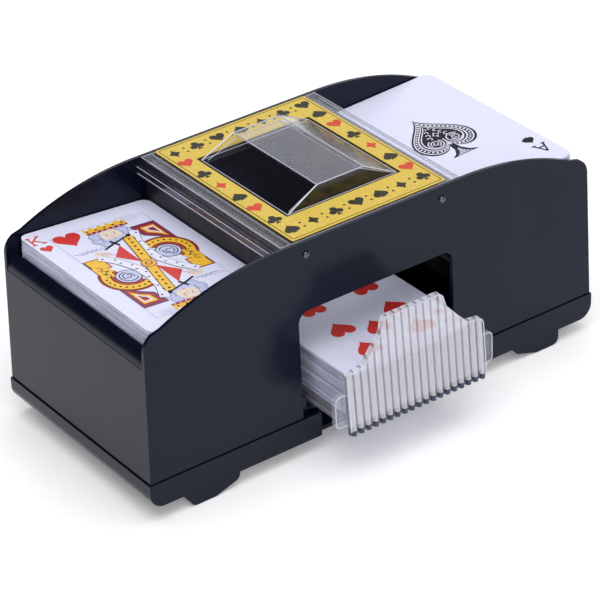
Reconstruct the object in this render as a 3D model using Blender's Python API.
"""Automatic playing-card shuffler.

Two decks lie on sloping feed decks at the left and right. Motor-driven rubber wheels under each deck
send cards through a slot into the centre well, where they fall on a sliding tray in the front opening.

Lengths in this file are in millimetres until new_object() turns them into metres. The front, where the
tray comes out, faces -Y, and the object rests on four feet at z = 0. Everything that exists at both
ends is written for the right-hand end and mirrored in X for the left.
"""

import math

import bmesh
import bpy
from mathutils import Vector

MM = 0.001
GAP = 0.3

# Base shell
BASE_X, BASE_Y = 103.8, 47.2
BASE_BOTTOM, SEAM = 6.0, 16.4
BASE_WALL = 2.0
BASE_CORNER = 6.0
FOOT_X0, FOOT_X1 = 65.0, 87.0
FOOT_DEPTH = 12.0
NOTCH_X = 27.7

# Upper shell: half sizes at the seam and at the top, then its arched side profile
SHELL_X_LOW, SHELL_X_HIGH = 103.2, 101.3
SHELL_Y_LOW, SHELL_Y_HIGH = 46.6, 46.0
SHELL_TOP = 89.5
INNER_Y = 44.6
INNER_X = 99.6
ARCH_X, ARCH_RADIUS = 42.0, 120.0
ARCH_END_X, ARCH_CORNER = 96.6, 5.0
END_WALL_INNER = 97.1
END_WALL_TOP = 69.5
END_ROLL = 6.0
MOUTH_X, MOUTH_TOP, MOUTH_CORNER = 35.5, 61.0, 4.5
PEG_X, PEG_Z, PEG_RADIUS = 31.0, 84.0, 1.5

# Feed decks and gates
DECK_IN = 37.6
FLOOR_IN_Z, FLOOR_SLOPE = 54.9, 0.059
FLOOR_THICK = 2.0
GATE_IN, GATE_OUT = 37.6, 39.2
CARD_SLOT = 2.2

# Clear cover and label
COVER_X, SKIRT_X, SKIRT_BOTTOM = 39.6, 42.8, 83.0
COVER_UNDER, COVER_TOP = 87.7, 89.4
HOOD_TOP_X, HOOD_TOP_Y, HOOD_TOP = 10.3, 26.1, 97.0
HOOD_SLOPE_X, HOOD_SLOPE_Y = 2.0, 0.157
HOOD_WALL = 1.3
LABEL_X, LABEL_Y = 34.9, 43.7
WINDOW_X, WINDOW_Y = 26.0, 27.6

# Playing cards, bridge size
CARD_LONG, CARD_SHORT, CARD_CORNER = 88.0, 56.7, 3.5
DECK_RIDE = 1.0
LEFT_TOP_IN, LEFT_TOP_OUT = 71.6, 76.1
RIGHT_TOP_IN, RIGHT_TOP_OUT = 76.8, 79.4
PILE_BOTTOM, PILE_TOP, PILE_FRONT = 23.5, 41.0, -66.2

# Tray, drawn in the position it is pulled out to
TRAY_FRONT, TRAY_BOTTOM, TRAY_X = -71.0, 18.8, 31.6
TRAY_WALL, TRAY_LEAN = 2.6, 4.5
TRAY_FLOOR_X, TRAY_FLOOR_BACK = 30.0, 25.4
TRAY_FLOOR_Z0, TRAY_FLOOR_Z1 = 21.0, 23.2
EAR_X, EAR_FRONT, EAR_BACK = 36.5, -68.0, -66.0
EAR_Z0, EAR_Z1 = 22.3, 36.0

# Feed drive
SHAFT_X, SHAFT_Z, SHAFT_RADIUS = 52.0, 45.8, 2.0
WHEEL_RADIUS, WHEEL_WIDTH, WHEEL_Y = 10.5, 9.0, 22.0
MODULE, PRESSURE_ANGLE = 0.8, math.radians(24)
ROLLER_TEETH, SMALL_TEETH, LARGE_TEETH, PINION_TEETH = 16, 12, 30, 10
CENTRE_EXTRA = 0.12
IDLER_ANGLE, PINION_ANGLE = math.radians(-40), math.radians(-10)
FIRST_STAGE_Y = (30.4, 34.0)
SECOND_STAGE_Y = (34.8, 37.8)
BRACKET_Y = (27.4, 29.4)
AXLE_RADIUS = 1.5
MOTOR_BACK_Y = 1.6

# Batteries, one pair of AA cells in each end of the base
CELL_RADIUS, CELL_LONG = 7.25, 50.5
CELL_X = (71.0, 86.6)
CELL_Z = 16.1
BOX_X0, BOX_X1, BOX_Y, BOX_TOP, BOX_WALL = 62.0, 95.6, 30.6, 24.6, 1.4
DOOR_CLEAR = 0.4
NUB_LONG, NUB_RADIUS = 1.4, 2.75
PLUS_GAP = 1.2
CONTACT_WIDTH, CONTACT_Z = 10.0, (9.0, 24.0)

# Push button in the back panel
BUTTON_X, BUTTON_Z, BUTTON_RADIUS = 91.0, 40.0, 5.0
BUTTON_OUT = 49.0

BASE_SCREW_X, BASE_SCREW_Y = 57.0, 41.2

# The object's own middle is off the middle of its overall box, because the tray sticks out in front
BODY_SHIFT = -(TRAY_FRONT + BUTTON_OUT) / 2

COLOURS = {
    "shell_black": ((0.028, 0.029, 0.036), 0.32, 0.0),
    "inner_black": ((0.02, 0.02, 0.022), 0.5, 0.0),
    "clear_plastic": ((0.8, 0.81, 0.9), 0.08, 0.0),
    "label_yellow": ((0.7, 0.56, 0.1), 0.4, 0.0),
    "card_white": ((0.8, 0.8, 0.9), 0.4, 0.0),
    "rubber": ((0.02, 0.02, 0.02), 0.8, 0.0),
    "gear_white": ((0.8, 0.79, 0.74), 0.45, 0.0),
    "steel": ((0.6, 0.6, 0.6), 0.25, 1.0),
    "battery_wrap": ((0.08, 0.1, 0.16), 0.35, 0.0),
}


def arc(centre_u, centre_v, radius, start, end, steps):
    """Points on an arc from start to end, in degrees."""
    angles = [math.radians(start + (end - start) * i / steps) for i in range(steps + 1)]
    return [(centre_u + radius * math.cos(a), centre_v + radius * math.sin(a)) for a in angles]


def circle(centre_u, centre_v, radius, steps=24):
    return arc(centre_u, centre_v, radius, 0, 360 - 360 / steps, steps - 1)


def rectangle(u0, u1, v0, v1):
    return [(u0, v0), (u1, v0), (u1, v1), (u0, v1)]


def round_rectangle(u0, u1, v0, v1, radius, steps=4):
    corners = ((u1, v0, -90), (u1, v1, 0), (u0, v1, 90), (u0, v0, 180))
    points = []
    for u, v, start in corners:
        inside_u = u + math.copysign(radius, u0 + u1 - 2 * u)
        inside_v = v + math.copysign(radius, v0 + v1 - 2 * v)
        points += arc(inside_u, inside_v, radius, start, start + 90, steps)
    return points


def prism(axis, outline, low, high):
    """A closed solid that extrudes a flat outline along an axis, as a bmesh in millimetres.

    The outline is in (y, z) for X, (x, z) for Y and (x, y) for Z.
    """
    place = {
        "X": lambda u, v, w: (w, u, v),
        "Y": lambda u, v, w: (u, w, v),
        "Z": lambda u, v, w: (u, v, w),
    }[axis]
    solid = bmesh.new()
    near = [solid.verts.new(place(u, v, low)) for u, v in outline]
    far = [solid.verts.new(place(u, v, high)) for u, v in outline]
    solid.faces.new(near)
    solid.faces.new(far)
    for i in range(len(outline)):
        j = (i + 1) % len(outline)
        solid.faces.new((near[i], near[j], far[j], far[i]))
    return solid


def box(x0, x1, y0, y1, z0, z1):
    return prism("Z", rectangle(x0, x1, y0, y1), z0, z1)


def rod(axis, u, v, radius, low, high, steps=24):
    return prism(axis, circle(u, v, radius, steps), low, high)


def new_object(name, solid, mirrored, origin):
    """Turns a bmesh in millimetres into a mesh object in metres, with its origin where it is asked for."""
    flip = -1 if mirrored else 1
    place = Vector((origin[0] * flip, origin[1], origin[2]))
    for vert in solid.verts:
        vert.co = (Vector((vert.co.x * flip, vert.co.y, vert.co.z)) - place) * MM
    bmesh.ops.recalc_face_normals(solid, faces=solid.faces)
    mesh = bpy.data.meshes.new(name)
    solid.to_mesh(mesh)
    solid.free()
    made = bpy.data.objects.new(name, mesh)
    bpy.context.scene.collection.objects.link(made)
    made.parent = assembly
    made.location = place * MM
    return made


def helper(target, solid, operation, mirrored, origin):
    """Adds a hidden helper and a Boolean modifier that joins it to the target or cuts it away."""
    tool = new_object(f"{target.name}_tool_{len(target.modifiers)}", solid, mirrored, origin)
    tool.hide_render = True
    tool.display_type = "WIRE"
    step = target.modifiers.new(f"{operation.lower()}_{len(target.modifiers)}", "BOOLEAN")
    step.operation = operation
    step.object = tool


def part(name, solid, material, joins=(), cuts=(), mirrored=False, origin=(0, 0, 0)):
    made = new_object(name, solid, mirrored, origin)
    for extra in joins:
        helper(made, extra, "UNION", mirrored, origin)
    for extra in cuts:
        helper(made, extra, "DIFFERENCE", mirrored, origin)
    made.data.materials.append(MATERIALS[material])
    made.data.shade_smooth()
    made.data.set_sharp_from_angle(angle=math.radians(35))
    return made


def make_materials():
    made = {}
    for name, (colour, roughness, metallic) in COLOURS.items():
        material = bpy.data.materials.new(name)
        material.use_nodes = True
        shader = material.node_tree.nodes["Principled BSDF"]
        shader.inputs["Base Color"].default_value = (*colour, 1)
        shader.inputs["Roughness"].default_value = roughness
        shader.inputs["Metallic"].default_value = metallic
        made[name] = material
    return made


def floor_top(x):
    """Height of a feed deck's upper face, which rises outwards."""
    return FLOOR_IN_Z + (x - DECK_IN) * FLOOR_SLOPE


def shell_end(z):
    """Half length of the upper shell at a height."""
    return SHELL_X_LOW + (SHELL_X_HIGH - SHELL_X_LOW) * (z - SEAM) / (SHELL_TOP - SEAM)


def side_profile():
    """Outline of the upper shell seen from the front, in (x, z)."""
    arch_centre = SHELL_TOP - ARCH_RADIUS
    sweep = math.degrees(math.asin((ARCH_END_X - ARCH_X) / ARCH_RADIUS))
    right = arc(ARCH_X, arch_centre, ARCH_RADIUS, 90, 90 - sweep, 10)
    end_x, end_z = right[-1]
    right += arc(end_x, end_z - ARCH_CORNER, ARCH_CORNER, 75, 8, 4)
    seam = SEAM + GAP / 2
    right.append((shell_end(seam), seam))
    left = [(-x, z) for x, z in reversed(right)]
    return left + right


def make_upper_shell():
    body = prism("Y", side_profile(), -1, 1)
    for vert in body.verts:
        share = (vert.co.z - SEAM) / (SHELL_TOP - SEAM)
        vert.co.y *= SHELL_Y_LOW + (SHELL_Y_HIGH - SHELL_Y_LOW) * share
    seam = SEAM - 1
    top = SHELL_TOP + 5
    pocket = box(-END_WALL_INNER, END_WALL_INNER, -INNER_Y, INNER_Y, 50, top)
    cavity = box(-INNER_X, INNER_X, -INNER_Y, INNER_Y, seam, 61)
    cuts = [pocket, cavity]
    for side in (-1, 1):
        roll = arc(END_WALL_INNER - 1.5, END_WALL_TOP - END_ROLL, END_ROLL, 82, 0, 6)
        outline = [(x * side, z) for x, z in [(90, END_WALL_TOP)] + roll]
        outline += [(110 * side, END_WALL_TOP - END_ROLL), (110 * side, top), (90 * side, top)]
        cuts.append(prism("Y", outline, -INNER_Y, INNER_Y))
    mouth = round_rectangle(-MOUTH_X, MOUTH_X, 0, MOUTH_TOP, MOUTH_CORNER)
    cuts.append(prism("Y", mouth, -60, -INNER_Y + 2))
    for x in (-PEG_X, PEG_X):
        cuts.append(rod("Y", x, PEG_Z, PEG_RADIUS + 0.1, -60, 60, 16))
    cuts.append(rod("Y", BUTTON_X, BUTTON_Z, BUTTON_RADIUS + 0.4, INNER_Y - 1, 60))
    joins = []
    for x in (-BASE_SCREW_X, BASE_SCREW_X):
        for y in (-BASE_SCREW_Y, BASE_SCREW_Y):
            joins.append(box(x - 3, x + 3, min(y, y * 1.09), max(y, y * 1.09), SEAM + 0.15, 34))
            joins.append(rod("Z", x, y, 3, SEAM + 0.15, 34, 16))
            cuts.append(rod("Z", x, y, 1.6, SEAM - 1, 30, 12))
    shell = new_object("upper_shell", body, False, (0, 0, 0))
    for cut in cuts[:2]:
        helper(shell, cut, "DIFFERENCE", False, (0, 0, 0))
    for join in joins:
        helper(shell, join, "UNION", False, (0, 0, 0))
    for cut in cuts[2:]:
        helper(shell, cut, "DIFFERENCE", False, (0, 0, 0))
    shell.data.materials.append(MATERIALS["shell_black"])
    shell.data.shade_smooth()
    shell.data.set_sharp_from_angle(angle=math.radians(35))


def foot(side, y0, y1):
    """A foot whose flat pad is at its outer end and whose underside rises towards the middle."""
    outline = arc(FOOT_X1 - 3, 3, 3, 0, -90, 4)
    outline += [(76, 0)]
    outline += arc(FOOT_X0 + 3, 5.6, 3, -95, -180, 4)
    outline += [(FOOT_X0, BASE_BOTTOM + 1), (FOOT_X1, BASE_BOTTOM + 1)]
    return prism("Y", [(x * side, z) for x, z in outline], y0, y1)


def make_base_shell():
    rim = SEAM - GAP / 2
    corner = BASE_CORNER
    outline = arc(BASE_X - corner, BASE_BOTTOM + corner, corner, -90, 0, 5) + [(BASE_X, rim)]
    outline = [(-x, z) for x, z in reversed(outline)] + outline
    body = prism("Y", outline, -BASE_Y, BASE_Y)
    inside_x, inside_y = BASE_X - BASE_WALL, BASE_Y - BASE_WALL
    floor = BASE_BOTTOM + BASE_WALL
    inner = arc(inside_x - corner, floor + corner, corner, -90, 0, 4) + [(inside_x, rim + 1)]
    inner = [(-x, z) for x, z in reversed(inner)] + inner
    shell = new_object("base_shell", body, False, (0, 0, 0))
    steps = [("DIFFERENCE", prism("Y", inner, -inside_y, inside_y))]
    for side in (-1, 1):
        steps.append(("UNION", foot(side, -BASE_Y, -BASE_Y + FOOT_DEPTH)))
        steps.append(("UNION", foot(side, BASE_Y - FOOT_DEPTH, BASE_Y)))
        x0, x1 = sorted((BOX_X0 * side, BOX_X1 * side))
        steps.append(("UNION", box(x0, x1, -BOX_Y, BOX_Y, floor - 1, BOX_TOP)))
        inner_box = box(x0 + BOX_WALL, x1 - BOX_WALL, -BOX_Y + BOX_WALL, BOX_Y - BOX_WALL, 0, 30)
        steps.append(("DIFFERENCE", inner_box))
        guide = [(26.5, 17.0), (32.2, 17.0), (32.2, floor - 1), (34.0, floor - 1), (34.0, 24.0)]
        guide += [(32.2, 24.0), (32.2, 18.6), (26.5, 18.6)]
        guide = [(x * side, z) for x, z in guide]
        steps.append(("UNION", prism("Y", guide, -INNER_Y + 0.4, INNER_Y - 0.4)))
        for y in (-BASE_SCREW_Y, BASE_SCREW_Y):
            hole = rod("Z", BASE_SCREW_X * side, y, 1.7, BASE_BOTTOM - 1, floor + 1, 12)
            steps.append(("DIFFERENCE", hole))
    steps.append(("DIFFERENCE", box(-NOTCH_X, NOTCH_X, -BASE_Y - 1, -inside_y + 0.5, 0, rim + 1)))
    for operation, solid in steps:
        helper(shell, solid, operation, False, (0, 0, 0))
    shell.data.materials.append(MATERIALS["shell_black"])
    shell.data.shade_smooth()
    shell.data.set_sharp_from_angle(angle=math.radians(35))


def frustum(half_x, half_y, z0, top_x, top_y, z1):
    shape = box(-1, 1, -1, 1, z0, z1)
    for vert in shape.verts:
        low = vert.co.z < (z0 + z1) / 2
        vert.co.x *= half_x if low else top_x
        vert.co.y *= half_y if low else top_y
    return shape


def hood_half(z):
    """Outer half sizes of the hood at a height."""
    drop = HOOD_TOP - z
    return HOOD_TOP_X + drop * HOOD_SLOPE_X, HOOD_TOP_Y + drop * HOOD_SLOPE_Y


def make_cover():
    plate = [(-COVER_X, COVER_UNDER), (COVER_X, COVER_UNDER)]
    plate += [(SKIRT_X - 1.5, SKIRT_BOTTOM + 1.5), (SKIRT_X - 1.5, SKIRT_BOTTOM)]
    plate += [(SKIRT_X, SKIRT_BOTTOM)] + arc(SKIRT_X - 3, COVER_TOP - 3, 3, 0, 90, 4)
    left = [(-x, z) for x, z in reversed(plate[2:])]
    outline = plate + left
    body = prism("Y", outline, -INNER_Y + GAP, INNER_Y - GAP)
    foot_z = COVER_TOP - 1
    joins = [frustum(*hood_half(foot_z), foot_z, *hood_half(HOOD_TOP), HOOD_TOP)]
    side_wall = HOOD_WALL * math.hypot(1, HOOD_SLOPE_X)
    low, high = COVER_UNDER - 1, HOOD_TOP - HOOD_WALL
    inner = [(x - side_wall, y - HOOD_WALL) for x, y in (hood_half(low), hood_half(high))]
    cuts = [frustum(*inner[0], low, *inner[1], high)]
    for x in (-PEG_X, PEG_X):
        for y0, y1 in ((-INNER_Y + GAP, -INNER_Y + 2.3), (INNER_Y - 2.3, INNER_Y - GAP)):
            joins.append(box(x - 2.8, x + 2.8, y0, y1, PEG_Z - 2.8, COVER_UNDER + 0.5))
        cuts.append(rod("Y", x, PEG_Z, PEG_RADIUS + 0.1, -60, 60, 16))
    part("clear_cover", body, "clear_plastic", joins, cuts)
    for number, x in enumerate((-PEG_X, PEG_X)):
        for place, side in (("front", -1), ("rear", 1)):
            end = ("left", "right")[number]
            shank = rod("Y", x, PEG_Z, PEG_RADIUS, *sorted((side * 42.6, side * 46.7)), 16)
            part(f"{place}_{end}_cover_peg", shank, "steel")


def make_label():
    sheet = box(-LABEL_X, LABEL_X, -LABEL_Y, LABEL_Y, COVER_TOP + GAP, COVER_TOP + GAP + 0.25)
    window = box(-WINDOW_X, WINDOW_X, -WINDOW_Y, WINDOW_Y, COVER_TOP, COVER_TOP + 2)
    part("cover_label", sheet, "label_yellow", cuts=[window])


def card_block(name, x0, x1, y0, y1, bottom, top, mirrored=False):
    """A squared-up pack of cards whose lower and upper faces are flat but may slope along X."""
    block = prism("Z", round_rectangle(x0, x1, y0, y1, CARD_CORNER, 3), 0, 1)
    for vert in block.verts:
        share = (vert.co.x - x0) / (x1 - x0)
        ends = bottom if vert.co.z < 0.5 else top
        vert.co.z = ends[0] + (ends[1] - ends[0]) * share
    part(name, block, "card_white", mirrored=mirrored)


def make_cards():
    half = CARD_LONG / 2
    inner = 39.7
    outer = inner + CARD_SHORT
    bottom = (floor_top(inner) + DECK_RIDE, floor_top(outer) + DECK_RIDE)
    left_top, right_top = (LEFT_TOP_IN, LEFT_TOP_OUT), (RIGHT_TOP_IN, RIGHT_TOP_OUT)
    card_block("left_card_deck", inner, outer, -half, half, bottom, left_top, True)
    card_block("right_card_deck", inner, outer, -half, half, bottom, right_top)
    half_x = CARD_SHORT / 2
    level = (PILE_BOTTOM, PILE_BOTTOM), (PILE_TOP, PILE_TOP)
    card_block("tray_card_pile", -half_x, half_x, PILE_FRONT, PILE_FRONT + CARD_LONG, *level)


def tray_wall_outline():
    """Front wall of the tray in (x, z): low shoulders, a slope each side and a raised middle."""
    right = [(TRAY_X, TRAY_BOTTOM)]
    right += arc(TRAY_X - 2.4, 41.8, 2.4, 0, 90, 3)
    right += [(23.7, 45.0), (14.8, 55.2)]
    right += arc(11.4, 58.2, 2.6, 10, 90, 3)
    return right + [(-x, z) for x, z in reversed(right)]


def make_tray():
    wall = prism("Y", tray_wall_outline(), TRAY_FRONT, TRAY_FRONT + TRAY_WALL)
    lean = math.tan(math.radians(TRAY_LEAN))
    for vert in wall.verts:
        vert.co.y += (vert.co.z - TRAY_BOTTOM) * lean * (vert.co.y < TRAY_FRONT + 9)
    inside = TRAY_FRONT + 1.6
    floor = box(-TRAY_FLOOR_X, TRAY_FLOOR_X, inside, TRAY_FLOOR_BACK, TRAY_FLOOR_Z0, TRAY_FLOOR_Z1)
    joins = [floor]
    for side in (-1, 1):
        x0, x1 = sorted((27.2 * side, 29.4 * side))
        joins.append(box(x0, x1, inside + 2, TRAY_FLOOR_BACK, TRAY_BOTTOM + 0.1, TRAY_FLOOR_Z0 + 1))
        ear = round_rectangle(TRAY_X - 5, EAR_X, EAR_Z0, EAR_Z1, 2.4, 3)
        joins.append(prism("Y", [(x * side, z) for x, z in ear], EAR_FRONT, EAR_BACK))
        web = box(*sorted(((TRAY_X - 4) * side, (TRAY_X - 2) * side)), inside, EAR_BACK, 23, 36)
        joins.append(web)
    part("card_tray", wall, "clear_plastic", joins)


def make_feed_deck(side_name, mirrored):
    def slope(x0, x1, low, high):
        return [
            (x0, floor_top(x0) + low),
            (x1, floor_top(x1) + low),
            (x1, floor_top(x1) + high),
            (x0, floor_top(x0) + high),
        ]

    edge = INNER_Y - GAP
    plate = prism("Y", slope(DECK_IN, END_WALL_INNER - GAP, -FLOOR_THICK, 0), -edge, edge)
    cuts = []
    slot_x = 7.9
    for y in (-WHEEL_Y, WHEEL_Y):
        x0, x1 = SHAFT_X - slot_x, SHAFT_X + slot_x
        half = WHEEL_WIDTH / 2 + 0.6
        cuts.append(box(x0, x1, y - half, y + half, 50, 60))
    part(f"{side_name}_feed_deck", plate, "inner_black", cuts=cuts, mirrored=mirrored)
    low = floor_top(GATE_IN) + CARD_SLOT
    gate = box(GATE_IN, GATE_OUT, -edge, edge, low, COVER_UNDER - GAP)
    part(f"{side_name}_gate", gate, "inner_black", mirrored=mirrored)


def gear_outline(teeth, phase, points=1):
    """Involute spur gear with short teeth, and one tooth centred on the phase angle."""
    pitch = MODULE * teeth / 2
    base = pitch * math.cos(PRESSURE_ANGLE)
    root, tip = pitch - 1.05 * MODULE, pitch + 0.75 * MODULE
    start = max(base, root + 0.05)
    half_at_pitch = math.pi / (2 * teeth) - 0.1 / pitch

    def involute(radius):
        angle = math.acos(base / radius)
        return math.tan(angle) - angle

    flank = [start + (tip - start) * i / points for i in range(points + 1)]
    shape = []
    for tooth in range(teeth):
        middle = phase + 2 * math.pi * tooth / teeth
        turn = [half_at_pitch + involute(pitch) - involute(r) for r in flank]
        rise = [(root, -turn[0])] + [(r, -a) for r, a in zip(flank, turn)]
        fall = [(r, -a) for r, a in reversed(rise)]
        for radius, angle in rise + fall:
            shape.append((radius * math.cos(middle + angle), radius * math.sin(middle + angle)))
    return shape


def moved(outline, centre):
    return [(u + centre[0], v + centre[1]) for u, v in outline]


def step_to(start, teeth_a, teeth_b, angle):
    """Centre of the gear that meshes with one at start, in the given direction."""
    distance = MODULE * (teeth_a + teeth_b) / 2 + CENTRE_EXTRA
    return (start[0] + distance * math.cos(angle), start[1] + distance * math.sin(angle))


def helix_spring(name, centre_x, centre_z, radius, wire, y0, y1, turns, mirrored):
    """A compression spring along Y, as a bevelled curve with closed ends."""
    curve = bpy.data.curves.new(name, "CURVE")
    curve.dimensions = "3D"
    curve.bevel_depth = wire * MM
    curve.bevel_resolution = 0
    curve.use_fill_caps = True
    per_turn = 9
    count = turns * per_turn + 1
    spline = curve.splines.new("POLY")
    spline.points.add(count - 1)
    flip = -1 if mirrored else 1
    for i, point in enumerate(spline.points):
        angle = 2 * math.pi * i / per_turn
        x = (centre_x + radius * math.cos(angle)) * flip
        y = y0 + (y1 - y0) * i / (count - 1)
        z = centre_z + radius * math.sin(angle)
        point.co = (x * MM, y * MM, z * MM, 1)
    curve.materials.append(MATERIALS["steel"])
    spring = bpy.data.objects.new(name, curve)
    bpy.context.scene.collection.objects.link(spring)
    spring.parent = assembly


def make_drive(side_name, mirrored):
    shaft = (SHAFT_X, SHAFT_Z)
    idler = step_to(shaft, ROLLER_TEETH, SMALL_TEETH, IDLER_ANGLE)
    motor = step_to(idler, LARGE_TEETH, PINION_TEETH, PINION_ANGLE)
    shaft_origin = (SHAFT_X, 0, SHAFT_Z)
    idler_origin = (idler[0], 0, idler[1])
    motor_origin = (motor[0], 0, motor[1])

    def add(name, solid, material, origin=(0, 0, 0), joins=(), cuts=()):
        part(f"{side_name}_{name}", solid, material, joins, cuts, mirrored, origin)

    add("roller_shaft", rod("Y", *shaft, SHAFT_RADIUS, -34, 34.2), "steel", shaft_origin)
    for place, y in (("front", -WHEEL_Y), ("rear", WHEEL_Y)):
        low, high = y - WHEEL_WIDTH / 2, y + WHEEL_WIDTH / 2
        tyre = rod("Y", *shaft, WHEEL_RADIUS, low, high, 40)
        bore = rod("Y", *shaft, SHAFT_RADIUS + 0.05, low - 1, high + 1)
        add(f"{place}_feed_wheel", tyre, "rubber", shaft_origin, cuts=[bore])

    wide_low, wide_high = FIRST_STAGE_Y
    gear = prism("Y", moved(gear_outline(ROLLER_TEETH, IDLER_ANGLE), shaft), wide_low, wide_high)
    bore = rod("Y", *shaft, SHAFT_RADIUS + 0.05, wide_low - 1, wide_high + 1)
    add("roller_gear", gear, "gear_white", shaft_origin, cuts=[bore])

    small = gear_outline(SMALL_TEETH, IDLER_ANGLE + math.pi + math.pi / SMALL_TEETH)
    large = gear_outline(LARGE_TEETH, PINION_ANGLE)
    small_gear = prism("Y", moved(small, idler), wide_low, SECOND_STAGE_Y[0] + 0.5)
    large_gear = prism("Y", moved(large, idler), *SECOND_STAGE_Y)
    bore = rod("Y", *idler, AXLE_RADIUS + 0.08, wide_low - 1, SECOND_STAGE_Y[1] + 1)
    add("idler_gear", large_gear, "gear_white", idler_origin, [small_gear], [bore])
    axle = rod("Y", *idler, AXLE_RADIUS, BRACKET_Y[0] - 0.5, SECOND_STAGE_Y[1] + 0.7)
    head = rod("Y", *idler, AXLE_RADIUS + 1, SECOND_STAGE_Y[1] + 0.4, SECOND_STAGE_Y[1] + 1.4)
    add("idler_axle", axle, "steel", joins=[head])

    pinion = gear_outline(PINION_TEETH, PINION_ANGLE + math.pi + math.pi / PINION_TEETH)
    pinion_gear = prism("Y", moved(pinion, motor), SECOND_STAGE_Y[0] - 0.2, SECOND_STAGE_Y[1] + 0.2)
    motor_shaft = rod("Y", *motor, 1.0, BRACKET_Y[0] - 0.6, SECOND_STAGE_Y[1] + 0.6, 16)
    add("motor_pinion", pinion_gear, "gear_white", motor_origin, [motor_shaft])

    can = arc(motor[0] + 2.5, motor[1], 7.5, -90, 90, 8) + arc(motor[0] - 2.5, motor[1], 7.5, 90, 270, 8)
    boss = rod("Y", *motor, 3.0, 26, BRACKET_Y[0] + 1.6, 20)
    bore = rod("Y", *motor, 1.2, BRACKET_Y[0] - 1.2, 40, 16)
    add("motor", prism("Y", can, MOTOR_BACK_Y, BRACKET_Y[0] - GAP), "steel", joins=[boss], cuts=[bore])

    def hang(x0, x1, drop):
        return [(x0, drop), (x1, drop), (x1, floor_top(x1) - 2.4), (x0, floor_top(x0) - 2.4)]

    plate = prism("Y", hang(46, 87, 26.5), *BRACKET_Y)
    top = hang(63.5, 87, 0)
    flange = [(x, z if z > 1 else floor_top(x) - 4) for x, z in top]
    cuts = [
        rod("Y", *shaft, SHAFT_RADIUS + 0.08, 20, 40),
        rod("Y", *idler, AXLE_RADIUS + 0.06, 20, 40),
        rod("Y", *motor, 3.2, 20, 40),
    ]
    add("gear_bracket", plate, "inner_black", joins=[prism("Y", flange, 20, BRACKET_Y[1])], cuts=cuts)
    plate = prism("Y", hang(45, 59, 40.5), -31.4, -29.4)
    flange = [(x, z if z > 1 else floor_top(x) - 4) for x, z in hang(45, 59, 0)]
    bore = rod("Y", *shaft, SHAFT_RADIUS + 0.08, -40, -20)
    add("front_bracket", plate, "inner_black", joins=[prism("Y", flange, -38, -29.4)], cuts=[bore])


def make_battery_bay(side_name, mirrored):
    def add(name, solid, material, joins=(), cuts=()):
        part(f"{side_name}_{name}", solid, material, joins, cuts, mirrored)

    wall = BOX_Y - BOX_WALL
    for place, x, facing in zip(("inner", "outer"), CELL_X, (1, -1)):
        plus = (wall - PLUS_GAP) * facing
        minus = plus - CELL_LONG * facing
        can = sorted((minus, plus - NUB_LONG * facing))
        tip = sorted((plus, plus - (NUB_LONG + 1) * facing))
        cell = rod("Y", x, CELL_Z, CELL_RADIUS, *can)
        add(f"{place}_battery", cell, "battery_wrap", [rod("Y", x, CELL_Z, NUB_RADIUS, *tip, 12)])
        low, high = sorted((minus - 0.5 * facing, -(wall - 1.3) * facing))
        spring_name = f"{side_name}_{place}_battery_spring"
        helix_spring(spring_name, x, CELL_Z, 3.0, 0.35, low + 0.2, high - 0.2, 3, mirrored)
    positive_x, negative_x = CELL_X
    half = CONTACT_WIDTH / 2
    plates = {
        "positive_terminal": (positive_x - half, positive_x + half, wall - 0.9, wall - 0.3),
        "negative_terminal": (negative_x - half, negative_x + half, wall - 0.9, wall - 0.3),
        "battery_bridge": (positive_x - half, negative_x + half, -wall + 0.3, -wall + 0.9),
    }
    for name, sides in plates.items():
        add(name, box(*sides, *CONTACT_Z), "steel")
    inset = BOX_WALL + DOOR_CLEAR
    door = box(BOX_X0 + inset, BOX_X1 - inset, -BOX_Y + inset, BOX_Y - inset, BASE_BOTTOM, 8)
    add("battery_door", door, "shell_black")


def make_button():
    edge = INNER_Y - 0.4
    origin = (BUTTON_X, INNER_Y, BUTTON_Z)
    cap = rod("Y", BUTTON_X, BUTTON_Z, BUTTON_RADIUS, edge - 1.4, BUTTON_OUT)
    flange = rod("Y", BUTTON_X, BUTTON_Z, 6.4, edge - 1.6, edge)
    stem = rod("Y", BUTTON_X, BUTTON_Z, 2.0, 39.2, edge - 1, 16)
    part("push_button", cap, "shell_black", [flange, stem], origin=origin)
    helix_spring("button_spring", BUTTON_X, BUTTON_Z, 3.4, 0.3, 37.7, edge - 2.2, 3, False)
    part("button_switch", box(84.6, 97.4, 30.0, 37.0, 32.5, 47.5), "inner_black")


def make_screws():
    for name, x in (("left", -BASE_SCREW_X), ("right", BASE_SCREW_X)):
        for place, y in (("front", -BASE_SCREW_Y), ("rear", BASE_SCREW_Y)):
            shank = rod("Z", x, y, 1.3, 4.6, 29, 12)
            head = rod("Z", x, y, 2.9, 4.0, 5.7, 16)
            part(f"{place}_{name}_base_screw", shank, "steel", [head])


for old in list(bpy.data.objects):
    bpy.data.objects.remove(old)
MATERIALS = make_materials()
assembly = bpy.data.objects.new("assembly", None)
bpy.context.scene.collection.objects.link(assembly)
assembly.location = (0, BODY_SHIFT * MM, 0)
make_upper_shell()
make_base_shell()
make_cover()
make_label()
make_cards()
make_tray()
for end_name, is_mirrored in (("left", True), ("right", False)):
    make_feed_deck(end_name, is_mirrored)
    make_drive(end_name, is_mirrored)
    make_battery_bay(end_name, is_mirrored)
make_button()
make_screws()
